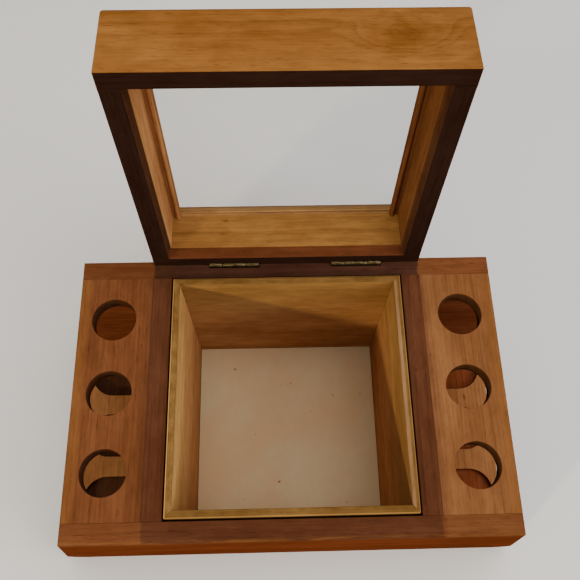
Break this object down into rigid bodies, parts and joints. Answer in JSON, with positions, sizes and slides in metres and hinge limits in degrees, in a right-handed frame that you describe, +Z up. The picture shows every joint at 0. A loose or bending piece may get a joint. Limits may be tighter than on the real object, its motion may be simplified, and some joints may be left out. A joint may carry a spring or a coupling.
{
  "type": "pick holder",
  "caption": "Walnut holder: a cedar-lined box with a hinged, glazed lid between open-sided wings that have round through holes above recessed shelves.",
  "frame": {"origin": "centre of the face that the stand rests on", "axes": "+Z up, front towards -Y, lid hinged along the back, +X to the right seen from the front"},
  "size_m": [0.3416, 0.2419, 0.3291],
  "materials": {
    "stand_walnut": "satin oiled walnut, faded by light",
    "dark_walnut": "satin oiled walnut, unfaded",
    "lid_walnut": "satin oiled walnut, faded to honey",
    "cedar": "plain unfinished cedar",
    "white_sheet": "matte off-white sheet",
    "glass": "clear pane",
    "brass": "aged brass"
  },
  "bodies": {
    "stand": {"front_board": "stand_walnut", "back_board": "stand_walnut", "left_box_wall": "dark_walnut", "right_box_wall": "dark_walnut", "left_wing_plate": "stand_walnut", "right_wing_plate": "stand_walnut", "left_lower_shelf": "stand_walnut", "right_lower_shelf": "stand_walnut", "bottom_panel": "dark_walnut", "floor_sheet": "white_sheet", "liner_front": "cedar", "liner_right": "cedar", "liner_back": "cedar", "liner_left": "cedar", "hinge_base_leaf_left": "brass", "hinge_base_leaf_right": "brass", "hinge_pin_left": "brass", "hinge_pin_right": "brass"},
    "lid": {"lid_front_rail": "lid_walnut", "lid_back_rail": "lid_walnut", "lid_left_rail": "lid_walnut", "lid_right_rail": "lid_walnut", "lid_glass": "glass", "glass_rest_left": "lid_walnut", "glass_rest_right": "lid_walnut", "hinge_lid_leaf_left": "brass", "hinge_lid_leaf_right": "brass"}
  },
  "joints": [
    {"name": "lid_hinge", "type": "hinge", "parent": "stand", "child": "lid", "pos_m": [0, 0.09025, 0.14615], "axis": [1, 0, 0], "range_deg": [0, 94.5]}
  ]
}
